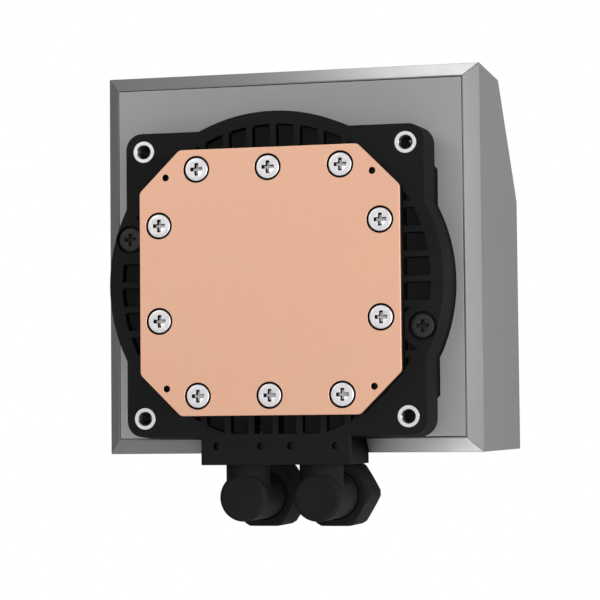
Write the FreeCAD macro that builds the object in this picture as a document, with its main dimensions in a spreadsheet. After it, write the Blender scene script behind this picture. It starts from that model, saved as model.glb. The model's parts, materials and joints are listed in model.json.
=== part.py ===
import FreeCAD, Part
import math
import os
import re
import Sketcher

# Pump head of a liquid cooler, in millimetres.
# Origin: centre of the copper contact face. +Y runs into the cooler, +Z is up, hose ports below.

SIZES = {
    # Cold plate and its screws
    "plate_half": 30.0,
    "plate_chamfer": 9.4,
    "plate_corner_round": 1.6,
    "plate_lip": 1.0,
    "plate_body_inset": 1.2,
    "plate_body_depth": 2.0,
    "screw_row": 25.55,
    "screw_column": 25.5,
    "screw_spread": 16.6,
    "side_screw_up": 13.0,
    "side_screw_down": 8.6,
    "dowel_place": 23.85,
    "dowel_radius": 0.75,
    "fin_count": 29,
    "fin_pitch": 1.2,
    "fin_thickness": 0.5,
    "fin_height": 3.3,
    "fin_length": 24.0,
    # Machine screws
    "screw_shank_radius": 1.5,
    "screw_head_radius": 2.7,
    "screw_head_height": 1.9,
    "screw_edge": 0.25,
    "screw_sink": 0.1,
    "plate_screw_grip": 7.5,
    "head_gap": 0.33,
    "recess_half": 1.5,
    "recess_slot_half": 0.42,
    "recess_depth": 1.0,
    # Moulded pump base
    "platform_rise": 3.8,
    "flange_depth": 10.6,
    "base_half": 34.7,
    "base_corner_radius": 3.7,
    "flange_radius": 38.8,
    "draft_degrees": 2.5,
    "pocket_radius": 35.8,
    "pocket_depth": 3.2,
    "well_depth": 5.6,
    "rib_pitch": 5.55,
    "rib_width": 1.45,
    "rib_count": 7,
    "boss_radius": 4.9,
    "base_screw_across": 33.85,
    "base_screw_up": 10.5,
    "base_screw_gap": 0.5,
    "insert_place": 30.5,
    "insert_radius": 2.5,
    "insert_length": 8.0,
    "insert_thread_radius": 1.5,
    "insert_relief_radius": 2.0,
    "insert_groove_depth": 0.3,
    "insert_groove_half": 0.5,
    "pump_body_radius": 31.0,
    "pump_body_depth": 4.9,
    # Port block
    "block_half": 17.4,
    "block_top": 34.1,
    "block_bottom": 41.1,
    "block_shoulder": 28.0,
    "block_round": 0.6,
    "port_pitch": 17.2,
    "port_depth": 13.3,
    "socket_top": 31.6,
    "channel_radius": 2.6,
    "pin_offset": 5.1,
    "pin_drop": 36.85,
    "pin_radius": 0.75,
    "pin_length": 12.0,
    "pin_sink": 0.9,
    # Water ways inside the base
    "chamber_half": 20.0,
    "chamber_corner": 3.0,
    "chamber_depth": 5.0,
    "gasket_band": 1.7,
    "gasket_wall": 0.9,
    "gasket_depth": 1.2,
    "flow_plate_thickness": 1.2,
    "flow_plate_half_height": 13.0,
    "flow_slot_half_length": 12.0,
    "flow_slot_half_width": 0.8,
    "flow_trough_depth": 1.2,
    "pump_chamber_radius": 15.0,
    "pump_floor": 3.0,
    "transfer_radius": 1.8,
    "transfer_place": 12.9,
    # Spacer, housing and its plate
    "spacer_thickness": 3.3,
    "spacer_half": 35.2,
    "spacer_radius": 39.25,
    "housing_half": 44.55,
    "housing_rise": 5.85,
    "bevel_width": 3.3,
    "bevel_depth": 3.7,
    "bevel_land": 0.15,
    "plate_seam": 0.15,
    "back_plate_thickness": 2.0,
    "ledge_width": 1.7,
    "ledge_depth": 3.3,
    "housing_wall": 2.0,
    "housing_top_depth": 32.4,
    "housing_front_depth": 60.2,
    "slope_drop": 26.6,
    "front_edge_chamfer": 0.5,
    # Motor
    "shaft_radius": 1.0,
    "shaft_seat": 0.9,
    "washer_radius": 3.0,
    "washer_thickness": 0.9,
    "bush_radius": 2.0,
    "hub_radius": 3.4,
    "impeller_radius": 13.4,
    "impeller_eye": 4.6,
    "blade_height": 4.4,
    "blade_thickness": 1.1,
    "blade_count": 7,
    "blade_reach": 11.8,
    "blade_sweep": 3.2,
    "shroud_thickness": 1.3,
    "magnet_radius": 9.1,
    "magnet_length": 18.0,
    "can_flange_radius": 29.4,
    "can_flange_thickness": 2.0,
    "can_bore": 9.8,
    "can_wall": 0.8,
    "can_length": 18.4,
    "can_screw_place": 18.4,
    "can_screw_grip": 5.5,
    "seal_radius": 18.6,
    "seal_cord": 0.7,
    "core_radius": 23.0,
    "core_yoke": 3.6,
    "core_length": 11.0,
    "core_lift": 1.9,
    "tooth_width": 5.0,
    "tooth_count": 6,
    "coil_thickness": 1.8,
    # Circuit board
    "board_half": 34.0,
    "board_corner": 4.0,
    "board_thickness": 1.6,
    "post_place": 30.5,
    "post_radius": 2.6,
    "post_length": 24.0,
    "post_thread_depth": 6.0,
    "board_screw_grip": 5.5,
    # Swivel elbows, seals and hose nuts
    "neck_radius": 5.0,
    "elbow_radius": 5.5,
    "elbow_drop": 48.5,
    "blind_reach": 5.2,
    "elbow_reach": 18.2,
    "blind_round": 1.1,
    "neck_edge": 0.4,
    "tail_radius": 3.4,
    "barb_rise": 0.45,
    "barb_length": 3.0,
    "barb_count": 2,
    "tail_length": 6.4,
    "neck_bore": 2.4,
    "elbow_bore": 2.6,
    "pin_groove_depth": 0.8,
    "ring_cord": 0.55,
    "ring_drop": 33.9,
    "nut_start": 13.2,
    "nut_length": 14.8,
    "nut_half_flats": 7.25,
    "nut_corner_radius": 8.0,
    "nut_face_radius": 7.05,
    "nut_face_chamfer": 0.6,
    "nut_front_bore": 5.7,
    "nut_front_depth": 2.4,
    "hose_radius": 5.6,
    # Clearances
    "fit_gap": 0.05,
    "seat_gap": 0.1,
    "pass_gap": 0.3,
}

document = FreeCAD.newDocument("pump_head")
sheet = document.addObject("Spreadsheet::Sheet", "Dimensions")
for row, (alias, size) in enumerate(SIZES.items(), start=1):
    sheet.set(f"A{row}", alias)
    sheet.set(f"B{row}", str(size))
    sheet.setAlias(f"B{row}", alias)
document.recompute()


def cells(formula):
    """Write each alias of the sheet in a formula as a reference to its cell."""
    return re.sub(r"[a-z]\w*", lambda word: ("Dimensions." if word[0] in SIZES else "") + word[0], formula)


def tie(target, path, formula):
    """Bind one property of an object to a formula of the sheet."""
    target.setExpression(path, cells(formula))


# Depths along Y, from the contact face into the cooler
PLATE_BACK = "(plate_lip + plate_body_depth)"
BASE_FRONT = "(plate_lip + platform_rise)"
BASE_BACK = f"({BASE_FRONT} + flange_depth)"
BACK_PLATE_FACE = f"({BASE_BACK} + spacer_thickness)"
BACK_PLATE_REAR = f"({BACK_PLATE_FACE} + back_plate_thickness)"
BODY_BACK = f"({BACK_PLATE_FACE} + pump_body_depth)"
CHAMBER_FLOOR = f"({PLATE_BACK} + chamber_depth)"
PUMP_FLOOR = f"({CHAMBER_FLOOR} + pump_floor)"
CAN_REAR = f"({BODY_BACK} + can_length)"
CAN_INSIDE_END = f"({CAN_REAR} - 1.5 * can_wall)"
ROTOR_FRONT = f"({PUMP_FLOOR} + washer_thickness + pass_gap)"
ROTOR_REAR = f"({CAN_INSIDE_END} - washer_thickness - pass_gap)"
CORE_FRONT = f"({BODY_BACK} + can_flange_thickness + core_lift)"
BOARD_FRONT = f"({BACK_PLATE_REAR} + post_length)"
NUT_FRONT = "(port_depth + nut_start)"
TAIL_START = "(port_depth + elbow_reach)"
HEAD_SEAT = "(screw_sink + screw_head_height)"


class Circle:
    """A circle of a sketch, placed and sized by formulas."""

    def __init__(self, across, up, radius):
        self.sizes = (across, up, radius)

    def draw(self, sketch):
        across, up, radius = self.sizes
        ring = sketch.addGeometry(Part.Circle(FreeCAD.Vector(1, 1, 0), FreeCAD.Vector(0, 0, 1), 1), False)
        constrain(sketch, ("Radius", ring), radius)
        constrain(sketch, ("DistanceX", -1, 1, ring, 3), across)
        constrain(sketch, ("DistanceY", -1, 1, ring, 3), up)


class Polygon:
    """A closed outline of a sketch whose corners are pairs of formulas."""

    def __init__(self, *corners):
        self.corners = corners

    def draw(self, sketch):
        count = len(self.corners)
        first = sketch.GeometryCount
        guess = []
        for index in range(count):
            turn = 2 * math.pi * index / count
            guess.append(FreeCAD.Vector(math.cos(turn), math.sin(turn), 0))
        for index in range(count):
            sketch.addGeometry(Part.LineSegment(guess[index], guess[(index + 1) % count]), False)
        for index in range(count):
            following = first + (index + 1) % count
            sketch.addConstraint(Sketcher.Constraint("Coincident", first + index, 2, following, 1))
        for index, (across, up) in enumerate(self.corners):
            constrain(sketch, ("DistanceX", -1, 1, first + index, 1), across)
            constrain(sketch, ("DistanceY", -1, 1, first + index, 1), up)


class RoundedBox:
    """A rectangle with round corners, between four formulas."""

    def __init__(self, left, right, low, high, radius):
        self.radius = radius
        self.left, self.right = f"{left} + {radius}", f"{right} - ({radius})"
        self.low, self.high = f"{low} + {radius}", f"{high} - ({radius})"

    def draw(self, sketch):
        centres = [
            (self.right, self.high), (self.left, self.high), (self.left, self.low), (self.right, self.low),
        ]
        signs = [(1, 1), (-1, 1), (-1, -1), (1, -1)]
        first = sketch.GeometryCount
        ends = []
        for quarter, (across, up) in enumerate(signs):
            circle = Part.Circle(FreeCAD.Vector(2 * across, 2 * up, 0), FreeCAD.Vector(0, 0, 1), 1)
            arc = Part.ArcOfCircle(circle, quarter * math.pi / 2, (quarter + 1) * math.pi / 2)
            sketch.addGeometry(arc, False)
            ends.append((arc.StartPoint, arc.EndPoint))
        for quarter in range(4):
            sketch.addGeometry(Part.LineSegment(ends[quarter][1], ends[(quarter + 1) % 4][0]), False)
        for quarter, (across, up) in enumerate(centres):
            arc, line = first + quarter, first + 4 + quarter
            following = first + (quarter + 1) % 4
            sketch.addConstraint(Sketcher.Constraint("Coincident", arc, 2, line, 1))
            sketch.addConstraint(Sketcher.Constraint("Coincident", line, 2, following, 1))
            level, upright = (1, 2) if quarter % 2 == 0 else (2, 1)
            sketch.addConstraint(Sketcher.Constraint("Horizontal", arc, 3, arc, level))
            sketch.addConstraint(Sketcher.Constraint("Vertical", arc, 3, arc, upright))
            constrain(sketch, ("Radius", arc), self.radius)
            constrain(sketch, ("DistanceX", -1, 1, arc, 3), across)
            constrain(sketch, ("DistanceY", -1, 1, arc, 3), up)


def constrain(sketch, parts, formula):
    """Add one dimension to a sketch and bind it to a formula."""
    number = sketch.addConstraint(Sketcher.Constraint(*parts, 1.0))
    tie(sketch, f"Constraints[{number}]", formula)


def box(left, right, low, high):
    """A rectangle between four formulas."""
    return Polygon((left, low), (right, low), (right, high), (left, high))


def rounded_square(half, radius, rise="0"):
    """A square of the given half width with round corners, its centre raised by rise."""
    return RoundedBox(f"-({half})", half, f"{rise} - ({half})", f"{rise} + {half}", radius)


def square(half, rise="0"):
    """A square of the given half width, its centre raised by rise."""
    return box(f"-({half})", half, f"{rise} - ({half})", f"{rise} + {half}")


def octagon(half, cut):
    """A square of the given half width with its corners cut at 45 degrees."""
    flat = f"({half}) - ({cut})"
    back_half, back_flat = f"-({half})", f"-({flat})"
    return Polygon(
        (flat, half), (half, flat), (half, back_flat), (flat, back_half),
        (back_flat, back_half), (back_half, back_flat), (back_half, flat), (back_flat, half),
    )


def inset_octagon(inset):
    """The cold plate's outline, moved inwards by the inset."""
    return octagon(f"(plate_half - ({inset}))", f"(plate_chamfer - ({inset}) * (2 - sqrt(2)))")


class Piece:
    """One body of features. Pads and pockets start at a depth and run towards the plus side."""

    def __init__(self, label):
        self.label = label
        self.body = document.addObject("PartDesign::Body", label)

    def origin(self, role):
        return next(feature for feature in self.body.Origin.OriginFeatures if feature.Role == role)

    def sketch(self, shapes, plane, start, across="0", up="0"):
        sketch = self.body.newObject("Sketcher::SketchObject", f"{self.label}_sketch")
        sketch.AttachmentSupport = [(self.origin(plane), "")]
        sketch.MapMode = "FlatFace"
        backwards = plane == "XZ_Plane"
        tie(sketch, "AttachmentOffset.Base.x", across)
        tie(sketch, "AttachmentOffset.Base.y", up)
        tie(sketch, "AttachmentOffset.Base.z", f"-({start})" if backwards else start)
        for shape in shapes:
            shape.draw(sketch)
        return sketch

    def add(self, kind, sketch, **formulas):
        before = self.body.Shape.Volume if self.body.Tip else 0.0
        feature = self.body.newObject(kind, f"{self.label}_feature")
        feature.Profile = sketch
        for path, formula in formulas.items():
            tie(feature, path, formula)
        return feature, before

    def finish(self, feature, before, cuts):
        document.recompute()
        change = self.body.Shape.Volume - before
        if (change >= 0) == cuts:
            raise RuntimeError(f"{self.label}: {feature.Label} changed the volume by {change:.3f}")
        return feature

    def pad(self, shapes, start, length, plane="XZ_Plane", draft=None):
        sketch = self.sketch(shapes, plane, start)
        feature, before = self.add("PartDesign::Pad", sketch, Length=length)
        feature.Reversed = plane == "XZ_Plane"
        if draft:
            tie(feature, "TaperAngle", draft)
        return self.finish(feature, before, cuts=False)

    def pocket(self, shapes, start, length, plane="XZ_Plane"):
        sketch = self.sketch(shapes, plane, start)
        feature, before = self.add("PartDesign::Pocket", sketch, Length=length)
        feature.Reversed = plane != "XZ_Plane"
        return self.finish(feature, before, cuts=True)

    def turn(self, outline, plane, start="0", across="0", up="0", cuts=False):
        """Revolve an outline once round the upright axis of its sketch."""
        sketch = self.sketch([outline], plane, start, across, up)
        kind = "PartDesign::Groove" if cuts else "PartDesign::Revolution"
        feature, before = self.add(kind, sketch)
        feature.ReferenceAxis = (sketch, ["V_Axis"])
        feature.Angle = 360
        return self.finish(feature, before, cuts)

    def row(self, original, axis, length, count, cuts=False):
        """Repeat a feature along an axis of the body, over a whole length."""
        before = self.body.Shape.Volume
        pattern = self.body.newObject("PartDesign::LinearPattern", f"{self.label}_row")
        pattern.Originals = [original]
        pattern.Direction = (self.origin(axis), [""])
        tie(pattern, "Length", length)
        tie(pattern, "Occurrences", count)
        self.body.Tip = pattern
        return self.finish(pattern, before, cuts)

    def ring(self, original, count, cuts=False):
        """Repeat a feature evenly round the Y axis."""
        before = self.body.Shape.Volume
        pattern = self.body.newObject("PartDesign::PolarPattern", f"{self.label}_ring")
        pattern.Originals = [original]
        pattern.Axis = (self.origin("Y_Axis"), [""])
        pattern.Angle = 360
        tie(pattern, "Occurrences", count)
        self.body.Tip = pattern
        return self.finish(pattern, before, cuts)

    def cut_with(self, tool):
        """Cut another piece's solids out of this one."""
        before = self.body.Shape.Volume
        feature = self.body.newObject("PartDesign::Boolean", f"{self.label}_cut")
        feature.Type = "Cut"
        feature.setObjects([tool.body])
        self.body.Tip = feature
        return self.finish(feature, before, cuts=True)

    def dress(self, kind, size, pick):
        """Round or chamfer the edges that a test picks."""
        base = self.body.Tip
        names = [f"Edge{index}" for index, edge in enumerate(base.Shape.Edges, start=1) if pick(edge)]
        feature = self.body.newObject(f"PartDesign::{kind}", f"{self.label}_edges")
        feature.Base = (base, names)
        tie(feature, "Radius" if kind == "Fillet" else "Size", size)
        self.body.Tip = feature
        document.recompute()
        return feature


def along_y(edge):
    """True for a straight edge that runs along Y."""
    ends = [vertex.Point for vertex in edge.Vertexes]
    return len(ends) == 2 and abs(abs((ends[1] - ends[0]).y) - edge.Length) < 1e-6


def is_block_edge(edge):
    """True for the upright front edges of the port block and its lower front edge."""
    front = edge.BoundBox.YMax < size("plate_lip") + size("platform_rise") + 1e-3
    low = edge.BoundBox.ZMin < -size("block_top") - 1.0
    return front and low and edge.Curve.TypeId == "Part::GeomLine" and along_block(edge)


def along_block(edge):
    """True where an edge lies on the outline of the port block."""
    middle = edge.CenterOfMass
    side = abs(abs(middle.x) - size("block_half")) < 1e-3
    bottom = abs(middle.z + size("block_bottom")) < 1e-3
    return side or bottom


def size(name):
    """The present value of one cell."""
    return float(sheet.get(name))


def copies(label, source, places, seat=None):
    """A group of linked copies of one fastener, each at its own place across and up.

    With a seat depth, each copy is turned to face the back, its front at that depth.
    """
    group = document.addObject("Part::Compound", label)
    links = []
    for number, (across, up) in enumerate(places, start=1):
        link = document.addObject("App::Link", f"{label}_{number}")
        link.LinkedObject = source.body
        tie(link, "Placement.Base.x", across)
        tie(link, "Placement.Base.z", up)
        if seat:
            link.Placement.Rotation = FreeCAD.Rotation(FreeCAD.Vector(0, 0, 1), 180)
            tie(link, "Placement.Base.y", seat)
        links.append(link)
    group.Links = links
    return group


def machine_screw(label, seat_start, grip):
    """A pan head screw on the Y axis: head front at seat_start, shank behind the head."""
    screw = Piece(label)
    head = f"({seat_start} + screw_head_height)"
    tip = f"({head} + ({grip}))"
    screw.turn(Polygon(
        ("0", seat_start), ("screw_head_radius - screw_edge", seat_start),
        ("screw_head_radius", f"{seat_start} + screw_edge"), ("screw_head_radius", head),
        ("screw_shank_radius", head), ("screw_shank_radius", f"{tip} - screw_edge"),
        ("screw_shank_radius - screw_edge", tip), ("0", tip),
    ), "XY_Plane")
    arm, slot = "recess_half", "recess_slot_half"
    screw.pocket([Polygon(
        (slot, arm), (slot, slot), (arm, slot), (arm, f"-{slot}"), (slot, f"-{slot}"), (slot, f"-{arm}"),
        (f"-{slot}", f"-{arm}"), (f"-{slot}", f"-{slot}"), (f"-{arm}", f"-{slot}"),
        (f"-{arm}", slot), (f"-{slot}", slot), (f"-{slot}", arm),
    )], seat_start, "recess_depth")
    return screw


PLATE_SCREWS = [
    ("-screw_spread", "screw_row"), ("0", "screw_row"), ("screw_spread", "screw_row"),
    ("-screw_column", "side_screw_up"), ("screw_column", "side_screw_up"),
    ("-screw_column", "-side_screw_down"), ("screw_column", "-side_screw_down"),
    ("-screw_spread", "-screw_row"), ("0", "-screw_row"), ("screw_spread", "-screw_row"),
]
BASE_SCREWS = [("-base_screw_across", "base_screw_up"), ("base_screw_across", "-base_screw_up")]
CORNERS = [("-", ""), ("", ""), ("-", "-"), ("", "-")]
EARS = [(f"{left}insert_place", f"{low}insert_place") for left, low in CORNERS]
CAN_SCREWS = [(f"{left}can_screw_place", f"{low}can_screw_place") for left, low in CORNERS]
POSTS = [(f"{left}post_place", f"housing_rise + {low}post_place") for left, low in CORNERS]
PORTS = {"left": "-port_pitch / 2", "right": "port_pitch / 2"}
PINS = [(f"{port} + {side} * pin_offset", "-pin_drop") for port in PORTS.values() for side in (-1, 1)]
SHANK_HOLE = "screw_shank_radius + fit_gap"


def circles(places, radius):
    return [Circle(across, up, radius) for across, up in places]


def make_cold_plate():
    """Copper plate: lip over the base's platform, body in its recess, fins in the water."""
    plate = Piece("cold_plate")
    plate.pad([inset_octagon("0")], "0", "plate_lip")
    plate.pad([inset_octagon("plate_body_inset")], "plate_lip", "plate_body_depth")
    plate.dress("Fillet", "plate_corner_round", along_y)
    first = "-fin_pitch * (fin_count - 1) / 2"
    fin = plate.pad([box(
        f"{first} - fin_thickness / 2", f"{first} + fin_thickness / 2", "-fin_length / 2", "fin_length / 2",
    )], PLATE_BACK, "fin_height")
    plate.row(fin, "X_Axis", "fin_pitch * (fin_count - 1)", "fin_count")
    plate.pocket(circles(PLATE_SCREWS, "screw_head_radius + head_gap"), "0", HEAD_SEAT)
    plate.pocket(circles(PLATE_SCREWS, SHANK_HOLE), HEAD_SEAT, f"{PLATE_BACK} - {HEAD_SEAT}")
    dowels = [(f"{left}dowel_place", f"{low}dowel_place") for left, low in CORNERS]
    plate.pocket(circles(dowels, "dowel_radius"), "0", PLATE_BACK)
    return plate.body


def make_rib_tool():
    """The pockets between the ribs: a disc less the platform, the ribs, the bosses and the port block."""
    tool = Piece("rib_pockets")
    tool.pad([Circle("0", "0", "pocket_radius")], BASE_FRONT, "pocket_depth")
    tool.pocket([inset_octagon("0")], BASE_FRONT, "pocket_depth")
    reach = "2 * pocket_radius"
    span = "rib_pitch * (rib_count - 1)"
    low, high = f"-{span} / 2 - rib_width / 2", f"-{span} / 2 + rib_width / 2"
    upright = tool.pocket([box(low, high, f"-{reach}", reach)], BASE_FRONT, "pocket_depth")
    tool.row(upright, "X_Axis", span, "rib_count", cuts=True)
    level = tool.pocket([box(f"-{reach}", reach, low, high)], BASE_FRONT, "pocket_depth")
    tool.row(level, "Z_Axis", span, "rib_count", cuts=True)
    tool.pocket(circles(BASE_SCREWS, "boss_radius"), BASE_FRONT, "pocket_depth")
    tool.pocket([box("-block_half", "block_half", f"-{reach}", "-block_top")], BASE_FRONT, "pocket_depth")
    return tool


def make_pump_base():
    """Moulded base: ribbed flange, platform, pump body, port block and all water ways."""
    base = Piece("pump_base")
    base.pad([rounded_square("base_half", "base_corner_radius")], BASE_FRONT, "flange_depth",
             draft="draft_degrees")
    base.pad([Circle("0", "0", "flange_radius")], BASE_FRONT, "flange_depth", draft="draft_degrees")
    base.pad([inset_octagon("0")], "plate_lip", "platform_rise + pocket_depth")
    base.cut_with(make_rib_tool())
    base.pad([Circle("0", "0", "pump_body_radius")], BASE_BACK, f"{BODY_BACK} - {BASE_BACK}")
    base.pad([box("-block_half", "block_half", "-block_bottom", "-block_top")], BASE_FRONT, "flange_depth")
    base.pad([box("-block_half", "block_half", "-block_bottom", "-block_shoulder")], BASE_BACK,
             f"{BODY_BACK} - {BASE_BACK}")
    base.dress("Fillet", "block_round", is_block_edge)
    gap = "rib_width / 2"
    wells = [box(gap, f"rib_pitch - {gap}", "-block_top", "-(plate_half - pass_gap)"),
             box(f"{gap} - rib_pitch", f"-{gap}", "-block_top", "-(plate_half - pass_gap)")]
    base.pocket(wells, f"{BASE_FRONT} + pocket_depth", "well_depth - pocket_depth")
    # Recess and seat of the cold plate, its screw holes and the gasket groove
    base.pocket([inset_octagon("plate_body_inset - seat_gap")], "plate_lip", "plate_body_depth")
    base.pocket(circles(PLATE_SCREWS, SHANK_HOLE), PLATE_BACK,
                f"{HEAD_SEAT} + plate_screw_grip - {PLATE_BACK}")
    groove = "(chamber_half + gasket_wall)"
    base.pocket([rounded_square(f"{groove} + gasket_band", "chamber_corner + gasket_wall + gasket_band"),
                 rounded_square(groove, "chamber_corner + gasket_wall")], PLATE_BACK, "gasket_depth")
    base.pocket([rounded_square("chamber_half", "chamber_corner")], PLATE_BACK, "chamber_depth")
    # Pump chamber, shaft seat and the way through to the fins
    base.pocket([Circle("0", "0", "pump_chamber_radius")], PUMP_FLOOR, f"{BODY_BACK} - {PUMP_FLOOR}")
    base.pocket([Circle("0", "0", "shaft_radius + fit_gap")], f"{PUMP_FLOOR} - shaft_seat", "shaft_seat")
    base.pocket([box("-flow_slot_half_length", "transfer_place", "-transfer_radius", "transfer_radius")],
                CHAMBER_FLOOR, "flow_trough_depth")
    base.pocket([Circle("transfer_place", "0", "transfer_radius")], CHAMBER_FLOOR, "pump_floor")
    # Screws that hold the base to the housing
    base.pocket(circles(BASE_SCREWS, "screw_head_radius + base_screw_gap"), BASE_FRONT, HEAD_SEAT)
    base.pocket(circles(BASE_SCREWS, SHANK_HOLE), f"{BASE_FRONT} + {HEAD_SEAT}",
                f"flange_depth - {HEAD_SEAT}")
    # Threaded inserts in the corner ears
    base.pocket(circles(EARS, "insert_radius + fit_gap"), BASE_FRONT, "insert_length")
    base.pocket(circles(EARS, "insert_relief_radius"), BASE_FRONT, "flange_depth")
    # Motor can: screw holes and seal groove
    base.pocket(circles(CAN_SCREWS, SHANK_HOLE), f"{BODY_BACK} - can_screw_grip", "can_screw_grip")
    base.pocket([Circle("0", "0", "seal_radius + seal_cord + fit_gap"),
                 Circle("0", "0", "seal_radius - seal_cord - fit_gap")], f"{BODY_BACK} - 2 * seal_cord",
                "2 * seal_cord")
    # Sockets of the swivel necks, pin holes and the two channels
    for port in PORTS.values():
        base.pocket([Circle(port, "port_depth", "neck_radius + fit_gap")], "-block_bottom",
                    "block_bottom - socket_top", plane="XY_Plane")
    base.pocket(circles(PINS, "pin_radius + fit_gap"), BASE_FRONT, "pin_length + pin_sink")
    base.pocket([Circle(PORTS["left"], "port_depth", "channel_radius")], "-socket_top",
                "socket_top - pump_chamber_radius / 2", plane="XY_Plane")
    outlet = "-(pump_chamber_radius + 0.6)"
    base.pocket([Circle(PORTS["right"], "port_depth", "channel_radius")], "-socket_top",
                f"socket_top + {outlet}", plane="XY_Plane")
    base.pocket([Circle(PORTS["right"], f"{outlet} - channel_radius", "channel_radius")], CHAMBER_FLOOR,
                f"port_depth - {CHAMBER_FLOOR}")
    return base.body


def make_gasket():
    gasket = Piece("cold_plate_gasket")
    groove = "(chamber_half + gasket_wall)"
    corner = "chamber_corner + gasket_wall"
    gasket.pad([rounded_square(f"{groove} + gasket_band - fit_gap", f"{corner} + gasket_band - fit_gap"),
                rounded_square(f"{groove} + fit_gap", f"{corner} + fit_gap")], PLATE_BACK, "gasket_depth")
    return gasket.body


def make_insert():
    """Threaded insert, bored to the thread's nominal size, with a groove that locks it in the plastic."""
    insert = Piece("threaded_insert")
    rear = f"({BASE_FRONT} + insert_length)"
    groove = "(insert_radius - insert_groove_depth)"
    groove_front = f"({BASE_FRONT} + insert_length / 2 - insert_groove_half)"
    groove_rear = f"({BASE_FRONT} + insert_length / 2 + insert_groove_half)"
    insert.turn(Polygon(
        ("insert_thread_radius", BASE_FRONT), ("insert_radius", BASE_FRONT),
        ("insert_radius", groove_front), (groove, groove_front), (groove, groove_rear),
        ("insert_radius", groove_rear), ("insert_radius", rear), ("insert_thread_radius", rear),
    ), "XY_Plane")
    return insert


def make_spacer():
    """Ring between the base and the housing, cut away under the ears and round the port block."""
    spacer = Piece("base_spacer")
    spacer.pad([octagon("spacer_half", "plate_chamfer")], BASE_BACK, "spacer_thickness")
    spacer.pad([Circle("0", "0", "spacer_radius")], BASE_BACK, "spacer_thickness")
    spacer.pocket([Circle("0", "0", "pump_body_radius + pass_gap")], BASE_BACK, "spacer_thickness")
    edge = "(block_half + pass_gap)"
    spacer.pocket([box(f"-{edge}", edge, "-2 * spacer_radius", "-(block_shoulder - pass_gap)")], BASE_BACK,
                  "spacer_thickness")
    spacer.pocket(circles(BASE_SCREWS, SHANK_HOLE), BASE_BACK, "spacer_thickness")
    return spacer.body


def make_flow_plate():
    plate = Piece("flow_plate")
    half, height = "(chamber_half - seat_gap)", "flow_plate_half_height"
    slot, slot_height = "flow_slot_half_length", "flow_slot_half_width"
    plate.pad([
        box(f"-{half}", half, f"-{height}", height), box(f"-{slot}", slot, f"-{slot_height}", slot_height),
    ], f"{CHAMBER_FLOOR} - flow_plate_thickness", "flow_plate_thickness")
    return plate.body


def make_back_plate():
    """Flat plate of the housing, flush with the inner edge of the bevel."""
    plate = Piece("housing_back_plate")
    half = "(housing_half - bevel_width - bevel_land - plate_seam)"
    plate.pad([square(half, "housing_rise")], BACK_PLATE_FACE, "back_plate_thickness")
    plate.pocket([Circle("0", "0", "pump_body_radius + pass_gap")], BACK_PLATE_FACE, "back_plate_thickness")
    edge = "(block_half + pass_gap)"
    plate.pocket([box(f"-{edge}", edge, "-2 * housing_half", "-(block_shoulder - pass_gap)")],
                 BACK_PLATE_FACE, "back_plate_thickness")
    plate.pocket(circles(BASE_SCREWS, SHANK_HOLE), BACK_PLATE_FACE, "back_plate_thickness")
    return plate.body


def slope_offset(inset):
    """How far a wall inset moves the slope's two corners, besides the inset itself: back, and down."""
    run = "(housing_front_depth - housing_top_depth)"
    slant = f"sqrt({run} * {run} + slope_drop * slope_drop)"
    back = f"({inset} * ({slant} - {run}) / slope_drop)"
    down = f"({inset} * ({slant} - slope_drop) / {run})"
    return back, down


def side_profile(start, inset):
    """The housing's profile across Y and Z, from a start depth to the front."""
    back, down = slope_offset(inset)
    top = f"housing_rise + housing_half - {inset}"
    low = f"housing_rise - housing_half + {inset}"
    front = f"{BACK_PLATE_FACE} + housing_front_depth - {inset}"
    return Polygon(
        (start, low), (front, low), (front, f"housing_rise + housing_half - slope_drop - {down}"),
        (f"{BACK_PLATE_FACE} + housing_top_depth - {back}", top), (start, top),
    )


def make_housing():
    """Bevelled shell with a sloping upper front, a ledge for the back plate and a port block notch."""
    shell = Piece("housing_shell")
    rim = f"({BACK_PLATE_FACE} + bevel_depth)"
    shell.pad([side_profile(rim, "0")], "-housing_half", "2 * housing_half", plane="YZ_Plane")
    narrow = "(housing_half - bevel_width)"
    shell.pad([square(narrow, "housing_rise")], BACK_PLATE_FACE, "bevel_depth",
              draft="atan(bevel_width / bevel_depth)")
    shell.dress("Chamfer", "front_edge_chamfer", is_front_edge)
    opening = "(housing_half - bevel_width - bevel_land)"
    ledge = f"({opening} - ledge_width)"
    shell.pocket([square(opening, "housing_rise")], BACK_PLATE_FACE, "back_plate_thickness")
    shell.pocket([square(ledge, "housing_rise")], BACK_PLATE_REAR, "ledge_depth")
    inner = "(housing_half - housing_wall)"
    shell.pocket([side_profile(f"{BACK_PLATE_REAR} + ledge_depth", "housing_wall")], f"-{inner}",
                 f"2 * {inner}", plane="YZ_Plane")
    edge = "(block_half + pass_gap)"
    shell.pocket([box(f"-{edge}", edge, "housing_rise - 2 * housing_half", "-(block_shoulder - pass_gap)")],
                 BACK_PLATE_FACE, f"{BODY_BACK} + pass_gap - {BACK_PLATE_FACE}")
    return shell.body


def is_front_edge(edge):
    """True for the outer edges of the housing's two front faces."""
    middle = edge.CenterOfMass
    rim = size("plate_lip") + size("platform_rise") + size("flange_depth") + size("spacer_thickness")
    return middle.y > rim + size("housing_top_depth") - 1e-3


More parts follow.
